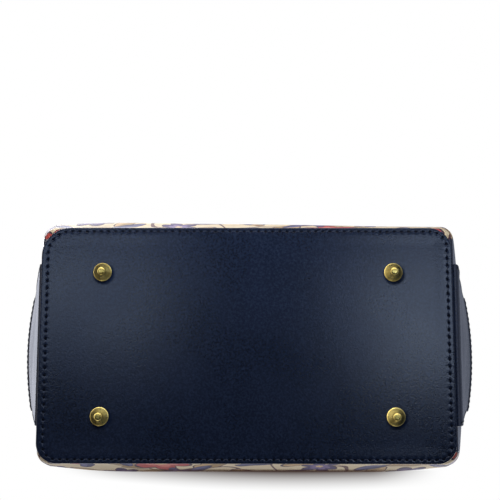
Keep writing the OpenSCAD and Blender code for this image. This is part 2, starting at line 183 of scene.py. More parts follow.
# Edge paint on cut leather: a thick, nearly black acrylic that dries smooth with a low shine.
edge_paint, tree, shader, place = new_material("edge_paint")
brushed = noise(tree, place, 3.5, Detail=3.0)
painted = blend(tree, brushed, "#0b111f", "#1a2338")
uneven = bump(tree, 0.3, 0.3, brushed)
wire(tree, shader, {"Base Color": painted, "Roughness": 0.42, "Normal": uneven})

# Bonded polyester sewing thread, navy: three twisted plies that catch small lights.
thread, tree, shader, place = new_material("navy_polyester_thread")
plies = add(tree, "TexWave", {"Vector": place, "Scale": per_mm(2.4), "Distortion": 1.5},
            bands_direction="DIAGONAL")
ply_shade = plies.outputs["Fac"]
twisted = blend(tree, ply_shade, "#0d1424", "#202c46")
ridged = bump(tree, 0.5, 0.2, ply_shade)
wire(tree, shader, {"Base Color": twisted, "Roughness": 0.5, "Normal": ridged})

# Needle hole: raw leather in the prick at each end of a stitch, near black with painted shade, no shine.
needle_hole_shade, tree, shader, place = new_material("painted_shade_in_needle_hole")
raw = noise(tree, place, 0.8, Detail=2.0)
hole_shade = blend(tree, raw, "#03050a", "#0a1020")
wire(tree, shader, {"Base Color": hole_shade, "Roughness": 0.8, "Specular IOR Level": 0.1})


def turns(count):
    """Angles evenly round a circle."""
    return [2 * math.pi * c / count for c in range(count)]


def arc(x, y, r, angles):
    """Points on a circle round (x, y)."""
    return [(x + r * math.cos(q), y + r * math.sin(q)) for q in angles]


def number_rows(first, after, count):
    """The numbers of the points from first up to after, in that many rows."""
    return np.arange(first, after).reshape(count, -1).tolist()


def join_rows(rows, closed=False):
    """Faces between each row of points and the next one. A row holds the numbers of its points."""
    made = []
    for row, following in zip(rows, rows[1:]):
        count = len(row)
        for i in range(count if closed else count - 1):
            n = (i + 1) % count
            made.append((row[i], row[n], following[n], following[i]))
    return made


def base_ring(inset):
    """The outline of the base, moved in, with points in the same order at every inset."""
    def side(seam):
        return seam * inset / SEAM_INSET if inset < SEAM_INSET else seam + inset - SEAM_INSET

    x_low, x_high = side(SEAM_LEFT) - BASE_HALF_W, BASE_HALF_W - SHORT_RIGHT - side(SEAM_RIGHT)
    y_low, y_high = side(SEAM_FRONT) - BASE_HALF_D, BASE_HALF_D - side(SEAM_BACK)
    corners = []
    for x, y, r, turn in ((x_high, y_low, CORNER_FRONT_RIGHT, -90), (x_high, y_high, CORNER_BACK_RIGHT, 0),
                          (x_low, y_high, CORNER_BACK_LEFT, 90), (x_low, y_low, CORNER_FRONT_LEFT, 180)):
        r = max(r - CORNER_TIGHTENS * inset, CORNER_LEAST)
        corners.append((x - math.copysign(r, x), y - math.copysign(r, y), r, turn))
    ring = []
    sides = (SHORT_POINTS, LONG_POINTS, SHORT_POINTS, LONG_POINTS)
    for corner, following, count in zip(corners, corners[1:] + corners[:1], sides):
        x, y, r, turn = corner
        ring += arc(x, y, r, [math.radians(turn + 90 * i / CORNER_POINTS) for i in range(CORNER_POINTS)])
        leave = math.radians(turn + 90)
        start, end = arc(x, y, r, [leave]) + arc(*following[:3], [leave])
        ring += list(np.linspace(start, end, count, endpoint=False))
    return np.array(ring)


def run_length(points, axis=0):
    """Distance along a line of points, or along each line of a grid, at each of its points."""
    steps = np.linalg.norm(np.diff(points, axis=axis), axis=-1)
    return np.insert(np.cumsum(steps, axis=axis), 0, 0.0, axis=axis)


# The rows of points from the upper face round the edge to the middle of the lower face: inset and height
EDGE_ROWS = [(9.0, BASE_TOP), (0.5, BASE_TOP), (0.15, 9.95), (0.0, 9.6), (0.0, 8.5), (0.08, 8.05),
             (0.25, 7.78), (0.55, 7.61), (1.0, 7.53)]
LOWER_EDGE_Z = 8.2
FACE_INSETS = (1.6, 2.3, 2.75, 3.0, 3.2, 3.4, 3.6, 3.8, 4.05, 4.6, 6.5, 10.5, 14.5, 20.0, 27.0, 35.0, 44.0,
               54.0, 64.0, 73.0, 78.0)
base_rows = EDGE_ROWS + [
    (inset, BASE_FACE + GROOVE_DEEP * math.exp(-((inset - SEAM_INSET) / GROOVE_WIDE) ** 2))
    for inset in FACE_INSETS
]
seam_ring = base_ring(SEAM_INSET)
seam_run = run_length(np.vstack([seam_ring, seam_ring[:1]]))
phase = seam_run[:-1] * round(seam_run[-1] / STITCH) / seam_run[-1]
prick = np.exp(-((phase - np.round(phase)) * STITCH / PRICK_LONG) ** 2)
base_points = []
for inset, z in base_rows:
    ring = base_ring(inset)
    heights = np.full(len(ring), z)
    if z < LOWER_EDGE_Z:
        heights += PRICK_DEEP * prick * math.exp(-((inset - SEAM_INSET) / PRICK_WIDE) ** 2)
        heights += PUCKER_DEEP * (1 - prick) * math.exp(-(inset - PUCKER_INSET) ** 2)
    if inset > HOLLOW_INSET:
        heights += HOLLOW_DEEP * (np.sin(ring[:, 0] / 31 + 0.7) * np.sin(ring[:, 1] / 24 + 0.4) + 1)
    base_points += [(x, y, height) for (x, y), height in zip(ring, heights)]
rings = number_rows(0, len(base_points), len(base_rows))
base_faces = join_rows(rings[::-1], closed=True) + [rings[0], rings[-1][::-1]]
base_leather = new_piece("base_leather", base_points, base_faces, "bag", [navy_calf])
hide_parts("base_panel")


def sew(name, line, out, body, pitch=STITCH, closed=False, thread_w=0.9, lift=0.05, hole_r=0.9,
        share=0.82):
    """A lockstitch row along a line: plump threads, and needle holes of painted shade at their ends."""
    line, out = np.asarray(line, float), np.asarray(out, float)
    if closed:
        line, out = np.vstack([line, line[:1]]), np.vstack([out, out[:1]])
    run = run_length(line)
    number = max(1, round(run[-1] / pitch))
    step = run[-1] / number
    lean = math.radians(STITCH_LEAN)
    points, faces, kinds = [], [], []

    def at(values, s):
        return np.array([np.interp(s, run, values[:, a]) for a in range(3)])

    def lie(s):
        along = at(line, s + 0.4) - at(line, s - 0.4)
        along /= np.linalg.norm(along)
        n = at(out, s)
        n -= along * (n @ along)
        n /= np.linalg.norm(n)
        return at(line, s), along, np.cross(n, along), n

    # A thread is plump, and its ends dip into the holes
    for i in range(number):
        p, along, across, n = lie((i + 0.5) * step)
        along, across = (along * math.cos(lean) + across * math.sin(lean),
                         across * math.cos(lean) - along * math.sin(lean))
        first = len(points)
        for u in np.linspace(-1, 1, THREAD_RINGS):
            fat = (1 - abs(u) ** 3.2) ** 0.5 if abs(u) < 1 else 0.12
            for q in turns(THREAD_SIDES):
                aside = 0.5 * thread_w * fat * math.cos(q)
                high = 0.42 * thread_w * fat * math.sin(q) + lift - 0.28 * u * u
                points.append(p + along * (u * 0.5 * share * step) + across * aside + n * high)
        rings = number_rows(first, len(points), THREAD_RINGS)
        faces += join_rows(rings, closed=True) + [rings[0][::-1], rings[-1]]
        kinds += [0] * (len(faces) - len(kinds))
    # A hole is a slightly raised disc of painted shade with a sloping rim: share of its radius and height
    for i in range(number if closed else number + 1):
        p, along, across, n = lie(i * step)
        first = len(points)
        for r, high in ((1.0, 0.02), (0.75, 0.1)):
            for q in turns(HOLE_SIDES):
                rim = along * math.cos(q) + 0.9 * across * math.sin(q)
                points.append(p + hole_r * r * rim + n * (high + lift))
        rings = number_rows(first, len(points), 2)
        faces += join_rows(rings, closed=True) + [rings[1]]
        kinds += [1] * (len(faces) - len(kinds))
    return new_piece(name, points, faces, body, [thread, needle_hole_shade], kinds)


# This row is drawn tight: its thread is thin and short and sinks below the face of the leather
sew("base_thread", [(x, y, BASE_FACE + 0.1) for x, y in seam_ring], [(0, 0, -1)] * len(seam_ring), "bag",
    closed=True, thread_w=0.7, lift=0.02, hole_r=1.0, share=0.58)

# Stiffening board and washers
# A plate of pressed greyboard that keeps the base flat, and four brass washers that the feet are
# riveted over. They are closed in under the lining.

# Greyboard, pressed from pulped paper: matt, with soft fibres in two greys.
greyboard, tree, shader, place = new_material("pressed_greyboard")
fibres = noise(tree, place, 4, Detail=6.0, Distortion=1.2)
pulped = blend(tree, fibres, "#7b7467", "#9a9385")
wire(tree, shader, {"Base Color": pulped, "Roughness": 0.9})

# Antique brass: turned or bent, dipped in a brown patina and rubbed bright where hands reach. It
# shows warm yellow lights, with brown clouds and small scratches.
antique_brass, tree, shader, place = new_material("antique_brass")
patina = noise(tree, place, 5, Detail=5.0, Roughness=0.65)
scuffs = noise(tree, place, 0.7, Detail=2.0)
aged = ramp(tree, patina, 0.4, 0.7, 0.0, 0.7)
brassy = blend(tree, aged, "#f4d97c", "#c8a347")
rubbed = ramp(tree, patina, 0.3, 0.7, 0.24, 0.33)
marks = bump(tree, 0.04, 0.2, scuffs)
wire(tree, shader, {"Base Color": brassy, "Metallic": 1.0, "Roughness": rubbed, "Normal": marks})


def finish_node(name, made):
    """Gives a node of the frame its finish."""
    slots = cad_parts[name].data.materials
    slots.clear()
    slots.append(made)


finish_node("base_board", greyboard)
finish_node("foot_washers", antique_brass)

# Feet
# Four turned cones of antique brass with a domed end and a thin flange, riveted through the base
# leather and the board, so that the leather stays off the ground.
CORNERS = [(f"{face}_{side}", x, face == "front") for face in ("front", "back")
           for side, x in (("left", -1), ("right", 1))]
for corner, _, _ in CORNERS:
    finish_node(corner + "_foot", antique_brass)

# Front and back panels
# Two pieces of printed cream leather that turn in over the base, swell low down and stand flat at the
# mouth. Their returns at the sides are plain navy and run under the gussets. Their top edge is painted.
WALL_Z = 10.25
BODY_H = 208.0
RIM_HALF_W, RIM_HALF_D = 192.0, 65.0
BODY_CORNER_R, RIM_CORNER_R = 10.0, 9.0
TURN_R = 6.0
ALLOWANCE = 7.0
FRONT_SWELL, FRONT_BOW = 6.0, 1.5
BACK_SWELL, BACK_BOW = 3.0, 4.5
SWELL_H, FLAT_H = 34.0, 150.0
WRAP_BASE, WRAP_RIM, LAP_W, GUSSET_BOW = 15.5, 6.0, 8.0, 6.0
EDGE_OVER = 0.5
SEAM_LOW_Y = BASE_HALF_D + EDGE_OVER - BODY_CORNER_R - WRAP_BASE
SEAM_RIM_Y = RIM_HALF_D - RIM_CORNER_R - WRAP_RIM
LAYER_T, LAYER_GAP = 2.0, 0.15
EDGE_ROUND = 0.55
# Columns round the body, from the middle of the front: the end of the flat front, the end of the corner,
# the gusset's edge, the panel's edge under it, and the middle of the side. Low down, a column of the front
# is about 23 mm wide.
N_FRONT, N_SIDE, N_SEAM, N_EDGE, N_MID = 6, 10, 12, 14, 17
COLUMN_W = 23.0
LAP_STEP = 0.33
RETURN_FROM = N_SIDE - 0.6


def mix(a, b, t):
    """The value a share of the way from a to b."""
    return a + (b - a) * t


def ease_between(a, b, x):
    """Rises softly from 0 at a to 1 at b."""
    t = min(1.0, max(0.0, (x - a) / (b - a)))
    return t * t * (3 - 2 * t)


def body_level(t):
    """The body's outline at a distance up the leather: below 0 it lies on the base, up to the turn
    radius it bends up, and then it is the wall at that height."""
    h = max(t, TURN_R)
    if t >= TURN_R:
        z, inset = WALL_Z + t, 0.0
    elif t >= 0:
        q = math.pi / 2 * t / TURN_R
        z, inset = WALL_Z + TURN_R * (1 - math.cos(q)), TURN_R * (1 - math.sin(q))
    else:
        z, inset = WALL_Z, TURN_R - t
    rise = (h - TURN_R) / (BODY_H - TURN_R)
    narrow = ease_between(SWELL_H, FLAT_H, h)
    swell = ease_between(0, SWELL_H, h) * (1 - narrow)
    wide = mix(BASE_HALF_W + EDGE_OVER, RIM_HALF_W, rise) - inset
    deep = mix(BASE_HALF_D + EDGE_OVER, RIM_HALF_D, narrow)
    corner = mix(BODY_CORNER_R, RIM_CORNER_R, narrow)
    seam = mix(SEAM_LOW_Y, SEAM_RIM_Y, rise)
    seam = min(seam, deep + min(FRONT_SWELL, BACK_SWELL) * swell - corner - 1.0)
    front = (deep + FRONT_SWELL * swell - inset, FRONT_BOW * swell)
    back = (deep + BACK_SWELL * swell - inset, BACK_BOW * swell)
    return z, wide, max(corner - inset, 1.5), GUSSET_BOW * rise, seam, front, back


def from_face(k):
    """Column counted from the middle of the front or the back, whichever is nearer."""
    m = k % (2 * N_MID)
    return min(m, 2 * N_MID - m)


def body_at(k, t):
    """A point of the body: column k runs round it from the middle of the front."""
    z, a, r, out, seam, front, rear = body_level(t)
    m = k % (4 * N_MID)
    left = m > 2 * N_MID
    w = 4 * N_MID - m if left else m
    back = w > N_MID
    c = 2 * N_MID - w if back else w
    b, bow = rear if back else front
    if c <= N_FRONT:
        x, y = (a - r) * c / N_FRONT, -b - bow * (1 - (c / N_FRONT) ** 2)
    elif c <= N_SIDE:
        q = math.pi / 2 * (c - N_FRONT) / (N_SIDE - N_FRONT)
        x, y = a - r + r * math.sin(q), r - b - r * math.cos(q)
    else:
        if c <= N_SEAM:
            y = mix(b - r, seam, (c - N_SIDE) / (N_SEAM - N_SIDE))
        elif c <= N_EDGE:
            y = mix(seam, seam - LAP_W, (c - N_SEAM) / (N_EDGE - N_SEAM))
        else:
            y = mix(seam - LAP_W, 0, (c - N_EDGE) / (N_MID - N_EDGE))
        x, y = a + out * (1 - (y / (b - r)) ** 2), -y
    return np.array((-x if left else x, -y if back else y, z))


def body_out(k, t):
    """The direction out of the body at a point."""
    round_it = body_at(k + 0.15, t) - body_at(k - 0.15, t)
    up = body_at(k, t + 0.3) - body_at(k, t - 0.3)
    n = np.cross(round_it, up)
    return n / np.linalg.norm(n)


def off_body(k, t, reach):
    """A point at a distance out of the body."""
    return body_at(k, t) + body_out(k, t) * reach


def lap_sink(t):
    """How far a layer sinks where the gusset and the panel both turn in over the base."""
    return (LAYER_T + LAYER_GAP) * (1 - ease_between(-1.0, TURN_R, t))


def grid_numbers(skin):
    """The numbers of the points of an outer skin, and of an inner skin that follows it."""
    outer = np.arange(skin.shape[0] * skin.shape[1]).reshape(skin.shape[:2])
    return outer, outer + outer.size


def two_skins(name, skin, under, faces, materials, kinds=None, middle=0):
    """A piece with an outer and an inner skin. Print and weave lie flat on it, from a middle column."""
    across = run_length(skin, axis=1)
    across -= across[:, [middle]]
    uv = np.stack([across, run_length(skin)], axis=2).reshape(-1, 2)
    points = np.concatenate([skin, under]).reshape(-1, 3)
    return new_piece(name, points, faces, "bag", materials, kinds, np.concatenate([uv, uv]))


def lay_leather(name, ks, ts, thick, reach, materials, ring=False, hem=lambda t: 0.0,
                paint_from=math.inf, plain_from=math.inf):
    """Leather laid on the body, with its outer face at reach(k, t) from it, thicker by hem(t), with its
    edges rounded and painted. Columns past plain_from take the third material."""
    skin = np.array([[off_body(k, t, reach(k, t) + hem(t)) for k in ks] for t in ts])
    under = np.array([[off_body(k, t, reach(k, t) - thick) for k in ks] for t in ts])
    outer, inner = grid_numbers(skin)
    faces = join_rows(outer.tolist(), ring)
    ends = ks[1:] + ks[:1] if ring else ks[1:]
    plain = [2 if min(from_face(k), from_face(end)) >= plain_from else 0 for k, end in zip(ks, ends)]
    kinds = []
    for t in ts[:-1]:
        kinds += [1] * len(plain) if t >= paint_from else plain
    faces += join_rows(inner[::-1].tolist(), ring)
    kinds += [0] * (len(faces) - len(kinds))
    edges = [(inner[0], outer[0]), (outer[-1], inner[-1])]
    if not ring:
        edges += [(outer[:, 0], inner[:, 0]), (inner[:, -1], outer[:, -1])]
    for edge, opposite in edges:
        faces += join_rows([edge.tolist(), opposite.tolist()], ring)
    kinds += [1] * (len(faces) - len(kinds))
    piece = two_skins(name, skin, under, faces, materials, kinds, len(ks) // 2)
    rounding = piece.modifiers.new("rounded_edge", "BEVEL")
    rounding.limit_method = "ANGLE"
    rounding.angle_limit = math.radians(50)
    rounding.width = 0.001 * EDGE_ROUND
    rounding.segments = 3
    return piece


# Printed calf leather: cream hide with a screen-printed garden of blossoms and leaves under a satin
# lacquer, so the colours are flat and clean, with thin dark outlines over a fine grain. Real pores are
# about 0.3 mm; they are drawn at 1 mm so that they show.
printed_calf, tree, shader, place = new_material("printed_cream_leather")
lay = add(tree, "UVMap", [], uv_map="lay").outputs["UV"]
clouds = noise(tree, place, 30, Detail=4.0)
wobble = noise(tree, lay, 26, Detail=2.0)
shift = calc_vector(tree, "MULTIPLY", wobble.outputs["Color"], (0.012, 0.012, 0.0))
drawn = calc_vector(tree, "ADD", lay, shift)
cream = blend(tree, clouds, "#dcc6a2", "#e8d6b6")
# Tendrils: thin brown lines along the contours of a slow wave
wave = noise(tree, lay, 70, Detail=1.0)
bands = calc(tree, "MULTIPLY", wave, 9.0)
saw = calc(tree, "PINGPONG", bands, 1.0)
tendril = calc(tree, "LESS_THAN", saw, 0.07)
print_so_far = blend(tree, tendril, cream, "#6b4a45")
# Each kind of motif: spacing, length, width, petals (0 for a leaf), fill and second colour. A motif sits
# in each cell of a scattered pattern, turned at random, and each kind has its pattern shifted.
MOTIF_SHIFT_X, MOTIF_SHIFT_Y = 0.137, 0.061
motifs = (
    (46.0, 19.0, 8.0, 0, "#c9a679", "#a98a5d"),
    (58.0, 22.0, 22.0, 5, "#b6483f", "#d4796a"),
    (50.0, 15.0, 15.0, 6, "#4a3a63", "#7a6690"),
    (40.0, 13.0, 5.0, 0, "#3d3a5c", "#5d5a80"),
)
for number, (spacing, length, width, petals, fill, second) in enumerate(motifs):
    moved = calc_vector(tree, "ADD", drawn, (MOTIF_SHIFT_X * number, MOTIF_SHIFT_Y * number, 0.0))
    cell = add(tree, "TexVoronoi", {"Vector": moved, "Scale": per_mm(spacing), "Randomness": 0.75},
               voronoi_dimensions="2D")
    local = calc_vector(tree, "SUBTRACT", moved, cell.outputs["Position"])
    chance = add(tree, "SeparateColor", [cell.outputs["Color"]])
    turn = calc(tree, "MULTIPLY", chance, math.tau)
    turned = add(tree, "VectorRotate", {"Vector": local, "Angle": turn}, rotation_type="Z_AXIS")
    stretch = calc_vector(tree, "MULTIPLY", turned, (per_mm(length), per_mm(width), 0.0))
    radius = calc_vector(tree, "LENGTH", stretch)
    along, across, _ = add(tree, "SeparateXYZ", [stretch]).outputs
    if petals:
        angle = calc(tree, "ARCTAN2", across, along)
        lobes = calc(tree, "MULTIPLY", angle, petals / 2)
        wavy = calc(tree, "SINE", lobes)
        lobed = calc(tree, "ABSOLUTE", wavy)
        edge = calc(tree, "MULTIPLY_ADD", lobed, 0.42, 0.58)
        radius = calc(tree, "DIVIDE", radius, edge)
        half = calc(tree, "LESS_THAN", radius, 0.55)
    else:
        half = calc(tree, "GREATER_THAN", across, 0.0)
    inside = calc(tree, "LESS_THAN", radius, 1.0)
    filled = calc(tree, "LESS_THAN", radius, 0.9)
    tint = blend(tree, half, fill, second)
    print_so_far = blend(tree, inside, print_so_far, "#4a2f38")
    print_so_far = blend(tree, filled, print_so_far, tint)
    if petals:
        eye = calc(tree, "LESS_THAN", radius, 0.2)
        print_so_far = blend(tree, eye, print_so_far, "#e0c08a")
pores = add(tree, "TexVoronoi", {"Vector": place, "Scale": per_mm(1.0)}, feature="SMOOTH_F1")
relief = bump(tree, 0.2, 0.25, pores)
gloss = ramp(tree, clouds, 0.3, 0.7, 0.5, 0.62)
wire(tree, shader, {"Base Color": print_so_far, "Roughness": gloss, "Specular IOR Level": 0.25,
                    "Normal": relief})


def spread(a, b, count):
    """Even steps from a, up to but without b."""
    return list(np.linspace(a, b, count + 1)[:-1])


FACE_KS = (spread(0, N_FRONT, 54) + spread(N_FRONT, N_SIDE, 16) + spread(N_SIDE, N_SEAM, 6)
           + spread(N_SEAM, N_EDGE, 5) + [N_EDGE])
PANEL_KS = [-k for k in FACE_KS[:0:-1]] + FACE_KS
BODY_TS = ([-ALLOWANCE, -4.0, -1.5] + spread(0.0, TURN_R, 9) + spread(TURN_R, 20.0, 5)
           + spread(20.0, 204.0, 42) + [204.0, 206.4, 207.3, BODY_H])


def panel_slack(k, t):
    """The soft unevenness of the printed leather, none at its seams and under the tabs. The front swells
    to the left of its middle, and the back on both sides of it."""
    f = from_face(k)
    x = k * COLUMN_W
    free = ease_between(16, 50, t) * (1 - ease_between(120, 150, t)) * (1 - min(1.0, f / N_FRONT) ** 4)
    waves = math.sin(x / 41 + 0.6) * math.sin(t / 33 + 1.1) + 0.6 * math.sin(x / 23 + t / 47 + 2.0)
    low = ease_between(6, 30, t) * (1 - ease_between(60, 130, t)) * (1 - min(1.0, f / (N_FRONT + 1)) ** 6)
    if abs(k) > N_EDGE:
        swells = 2.3 * math.exp(-((COLUMN_W * f - 106) / 46) ** 2)
    else:
        swells = 2.2 * math.exp(-((x + 105) / 62) ** 2) - 0.7 * math.exp(-((x - 100) / 60) ** 2)
    return 0.4 * free * waves + low * swells


def panel_reach(k, t):
    """The outer face of a panel, which steps down beside the gusset to run under it."""
    under = min(1.0, max(0.0, 1.0 + (from_face(k) - N_SEAM) / LAP_STEP))
    return panel_slack(k, t) - lap_sink(t) * under


for name, start in (("front", 0), ("back", 2 * N_MID)):
    panel = lay_leather(name + "_print", [k + start for k in PANEL_KS], BODY_TS, LAYER_T, panel_reach,
                        [printed_calf, edge_paint, navy_calf], plain_from=RETURN_FROM)
    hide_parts(name + "_panel")

# Gussets
# The two sides, plain navy calf leather. They flare towards the mouth, lap over the edges of the
# printed panels with a painted edge, and are sewn down along both laps and round the rim.
FULL_RIGHT, FULL_LEFT = 1.5, 0.2
HEM_T, HEM_FROM, HEM_TO = 0.9, 198.5, 200.5
PAINT_FROM = 206.0
SIDE_SEAM_IN, SIDE_SEAM_END = 0.65, 6.0
SIDE_RIM_SEAM, PANEL_RIM_SEAM = 4.5, 3.2
# A column close to each edge keeps the edge crisp
CRISP_STEP = 0.12
half_ks = [N_SEAM, N_SEAM + CRISP_STEP] + spread(N_SEAM, N_EDGE, 8)[1:] + spread(N_EDGE, N_MID, 14)
GUSSET_KS = half_ks + [N_MID] + [2 * N_MID - k for k in half_ks[::-1]]
GUSSET_TS = ([t for t in BODY_TS if t < 196] + [196.0, 198.0, 198.7, 199.2, 199.8, 200.4, 201.2, 203.0]
             + [206.4, 207.3, BODY_H])


def gusset_reach(k, t):
    """The outer face of a gusset: over the panel, full above the base and soft in its middle."""
    middle = max(0.0, (from_face(k) - N_EDGE) / (N_MID - N_EDGE))
    full = FULL_RIGHT if k < 2 * N_MID else FULL_LEFT
    full *= ease_between(0, 9, t) * (1 - ease_between(14, 60, t))
    soft = 0.6 * middle * ease_between(20, 60, t) * (1 - ease_between(150, 195, t)) * math.sin(t / 27 + k)
    return LAYER_GAP + LAYER_T - lap_sink(t) + soft + full


def gusset_hem(t):
    """How much thicker the leather is where it is turned over at the mouth."""
    return HEM_T * ease_between(HEM_FROM, HEM_TO, t)


for name, start, ends in (("right", 0, ("front", "back")), ("left", 2 * N_MID, ("back", "front"))):
    gusset = lay_leather(name + "_side", [k + start for k in GUSSET_KS], GUSSET_TS, LAYER_T, gusset_reach,
                         [navy_calf, edge_paint], hem=gusset_hem, paint_from=PAINT_FROM)
    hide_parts(name + "_gusset")
    seam_ts = np.linspace(TURN_R - 1.0, BODY_H - SIDE_SEAM_END, 90)
    first, last = start + N_SEAM, start + 2 * N_MID - N_SEAM
    for end, k in zip(ends, (first + SIDE_SEAM_IN, last - SIDE_SEAM_IN)):
        sew(f"{name}_{end}_seam_thread", [off_body(k, t, gusset_reach(k, t)) for t in seam_ts],
            [body_out(k, t) for t in seam_ts], "bag")
    rim_t = BODY_H - SIDE_RIM_SEAM
    rim_ks = np.linspace(first + 0.4, last - 0.4, 80)
    rim_row = [off_body(k, rim_t, gusset_reach(k, rim_t) + gusset_hem(rim_t)) for k in rim_ks]
    sew(name + "_rim_thread", rim_row, [body_out(k, rim_t) for k in rim_ks], "bag", thread_w=1.0)
for name, start in (("front", 0), ("back", 2 * N_MID)):
    rim_t = BODY_H - PANEL_RIM_SEAM
    rim_ks = np.linspace(start - N_SEAM + 0.2, start + N_SEAM - 0.2, 200)
    rim_row = [body_at(k, rim_t) for k in rim_ks]
    sew(name + "_rim_thread", rim_row, [body_out(k, rim_t) for k in rim_ks], "bag")

# Facing
# A band of navy leather inside the mouth. It is glued and sewn to the tops of the panels and the
# gussets, its edge is painted together with theirs, and it carries the magnetic snap.
FACING_H, FACING_T = 40.0, 1.8
FACING_LOW = BODY_H - FACING_H
FACING_SEAM = 3.2


def facing_reach(k, t):
    """The outer face of the facing: behind the panels, and out to the gusset between their edges."""
    step = min(1.0, max(0.0, from_face(k) - N_EDGE - 1))
    return -(LAYER_T + LAYER_GAP) * (1 - step)


quarter_ks = (spread(0, N_FRONT, 24) + spread(N_FRONT, N_SIDE, 12) + spread(N_SIDE, N_EDGE, 6)
              + spread(N_EDGE, N_MID, 9))
half_ring_ks = quarter_ks + [2 * N_MID - k for k in [N_MID] + quarter_ks[:0:-1]]
RING_KS = half_ring_ks + [k + 2 * N_MID for k in half_ring_ks]
facing_ts = ([FACING_LOW, FACING_LOW + 1] + spread(FACING_LOW + 4, BODY_H - 2, 8)
             + [BODY_H - 2, BODY_H - 0.8, BODY_H])
facing = lay_leather("mouth_facing", RING_KS, facing_ts, FACING_T, facing_reach, [navy_calf, edge_paint],
                     ring=True)
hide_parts("top_facing")
seam_t = FACING_LOW + FACING_SEAM
sew("facing_thread", [off_body(k, seam_t, facing_reach(k, seam_t) - FACING_T) for k in RING_KS],
    [-body_out(k, seam_t) for k in RING_KS], "bag", closed=True)

# Lining
# A sewn bag of tan cotton twill that hangs from the lower edge of the facing and lies loosely over
# the board, the washers and the seam allowances.
LINING_T = 0.8
LINING_Z = 15.4
LINING_FOOT = 5.15
LINING_LOW, LINING_TOP = TURN_R + 2 * LINING_FOOT, FACING_LOW - LAYER_GAP - 1.0
LINING_LOOSE, LINING_BULGE = 0.5, 0.5
FOOT_SHARE = 0.08

# Cotton twill: diagonal ribs, matt, a little hairy. Real ribs are 0.6 mm; drawn at 1.4 mm to show.
twill, tree, shader, place = new_material("cotton_twill")
lay = add(tree, "UVMap", [], uv_map="lay").outputs["UV"]
ribs = add(tree, "TexWave", {"Vector": lay, "Scale": per_mm(1.4) / math.tau, "Distortion": 0.4},
           bands_direction="DIAGONAL").outputs["Fac"]
slubs = noise(tree, place, 9, Detail=4.0)
woven = blend(tree, ribs, "#a58e69", "#bfa981")
uneven = blend(tree, slubs, woven, "#c7b28c")
weave = bump(tree, 0.35, 0.3, ribs)
wire(tree, shader, {"Base Color": uneven, "Roughness": 0.85, "Sheen Weight": 0.15, "Normal": weave})


def lining_point(k, share):
    """A point of the lining's outer face: the floor up to share 0, then the walls up to share 1."""
    edge = off_body(k, TURN_R, -(LINING_FOOT + LAYER_T + LAYER_GAP))
    edge[2] = LINING_Z + LINING_FOOT
    if share < 0:
        return mix(np.array((0.0, 0.0, LINING_Z)), edge, 1 + share)
    t = mix(LINING_LOW, LINING_TOP, share)
    bulge = math.sin(k * 2.1 + share * 5) * math.sin(math.pi * share) * ease_between(0, 0.3, share)
    wall = off_body(k, t, -(LAYER_T + LAYER_GAP + LINING_LOOSE + LINING_BULGE * abs(bulge)))
    return mix(edge, wall, ease_between(0, FOOT_SHARE, share))


lining_shares = spread(-0.94, 0.0, 14) + spread(0.0, 0.1, 6) + spread(0.1, 1.0, 18) + [1.0]
skin = np.array([[lining_point(k, share) for k in RING_KS] for share in lining_shares])
inward = -skin
floor_rows = np.array(lining_shares) < 0
inward[floor_rows] = (0, 0, 1)
inward[~floor_rows, :, 2] = 0
inward /= np.linalg.norm(inward, axis=2, keepdims=True)
outer, inner = [numbers.tolist() for numbers in grid_numbers(skin)]
faces = join_rows(outer, closed=True) + join_rows(inner[::-1], closed=True)
faces += join_rows([outer[-1], inner[-1]], closed=True) + [outer[0][::-1], inner[0]]
lining = two_skins("lining_cloth", skin, skin + LINING_T * inward, faces, [twill])
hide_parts("lining")

# Magnetic snap
# Two pressed brass discs that are clinched through the facing, one with a stud and one with the
# recess that takes it.
finish_node("snap_stud", antique_brass)
finish_node("snap_socket", antique_brass)

# Tabs and their rivets
# Four straps of navy leather, each folded round the lower bar of a ring, sewn along its edges and
# fixed through the panel and the facing with a domed brass rivet.
STRAP_W, STRAP_T = 22.0, 1.8
TAB_L = 46.0
TAB_END_R = STRAP_W / 2
TAB_END_Z = TAB_END_R - TAB_L
# The ply on the panel, and the ply over it, which is drawn in below the bar
INNER_PLY_Y, INNER_PLY_Z = 3.1, -6.0
OUTER_PLY_Y, OUTER_PLY_Z = 1.3, -11.5
LOOP_MID_R = 3.2
TAB_SEAM_X, TAB_SEAM_Y, TAB_SEAM_Z = 8.2, 0.3, -13.5
TAB_STITCH = 4.0
HANDLE_X = 65.0
BAR_Y = 69.25
TAB_BAR_Z = 208.25


def smooth_path(path, step=1.2):
    """A path resampled evenly, with its corners eased."""
    path = np.asarray(path, float)
    run = run_length(path)
    even = np.linspace(0, run[-1], max(8, int(run[-1] / step)))
    fine = np.stack([np.interp(even, run, path[:, a]) for a in range(path.shape[1])], axis=1)
    for _ in range(6):
        fine[1:-1] = 0.5 * fine[1:-1] + 0.25 * (fine[:-2] + fine[2:])
    return fine


def strap_mesh(path, widths, thick):
    """A strap of leather along a path in (y, z), as wide along x as given, with round, painted edges."""
    ahead = np.gradient(path, axis=0)
    ahead /= np.linalg.norm(ahead, axis=1, keepdims=True)
    edge = np.radians([-90, -50, 0, 50, 90])
    points = []
    for (y, z), (ahead_y, ahead_z), width in zip(path, ahead, widths):
        flat = max(width / 2 - thick / 2, 0.05)
        half = [(0.4 - flat, -thick / 2), (0.0, -thick / 2), (flat - 0.4, -thick / 2)]
        half += arc(flat, 0.0, thick / 2, edge)
        section = half + [(-x, -h) for x, h in half]
        points += [(x, y - ahead_z * h, z + ahead_y * h) for x, h in section]
    rows = number_rows(0, len(points), len(path))
    faces = join_rows(rows, closed=True) + [rows[0][::-1], rows[-1]]
    half_kinds = [0, 0, 0] + [1] * (len(edge) - 1) + [0]
    return np.array(points), faces, 2 * half_kinds * (len(path) - 1) + [1, 1]


